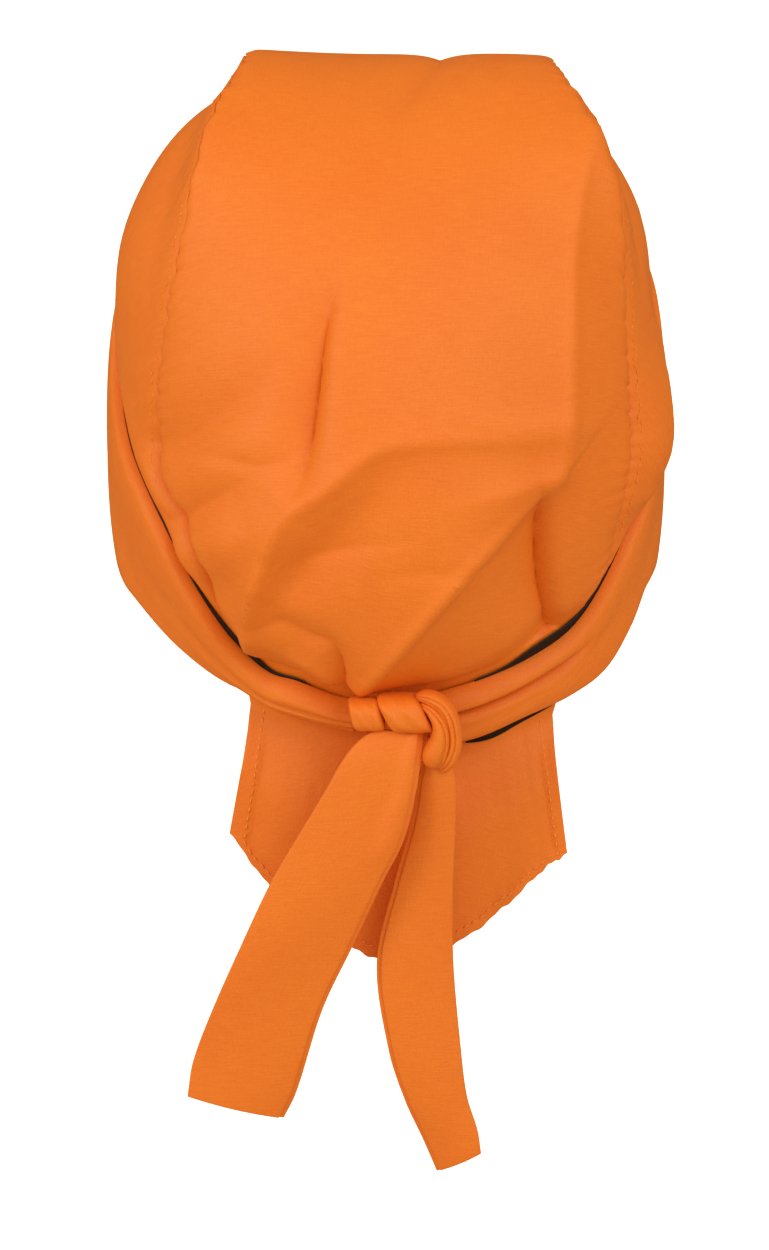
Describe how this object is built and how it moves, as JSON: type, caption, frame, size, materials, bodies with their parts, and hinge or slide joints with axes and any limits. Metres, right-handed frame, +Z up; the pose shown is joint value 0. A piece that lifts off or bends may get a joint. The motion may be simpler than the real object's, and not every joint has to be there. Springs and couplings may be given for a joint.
{
  "type": "tied bandana cap",
  "caption": "Sewn bandana cap in plain orange cotton, shaped as worn: three-panel crown, folded band over a black facing, band ends knotted at the nape over a hanging tail.",
  "frame": {"origin": "middle of the head opening, level with the band's lower edge at the temples, where a head enters; a head holds the cap there", "axes": "+Z up, +X towards the wearer's left, -Y towards the forehead, +Y towards the knot at the nape"},
  "size_m": [0.1646, 0.1948, 0.3174],
  "materials": {
    "orange_cotton": "matt plain-weave cotton with a fine slub",
    "black_facing": "matt black cloth"
  },
  "bodies": {
    "root": {"centre_panel": "orange_cotton", "side_panel_left": "orange_cotton", "side_panel_right": "orange_cotton", "facing": "black_facing", "headband": "orange_cotton", "knot_wrap": "orange_cotton", "knot_loop": "orange_cotton", "tie_left": "orange_cotton", "tie_right": "orange_cotton"}
  },
  "joints": []
}
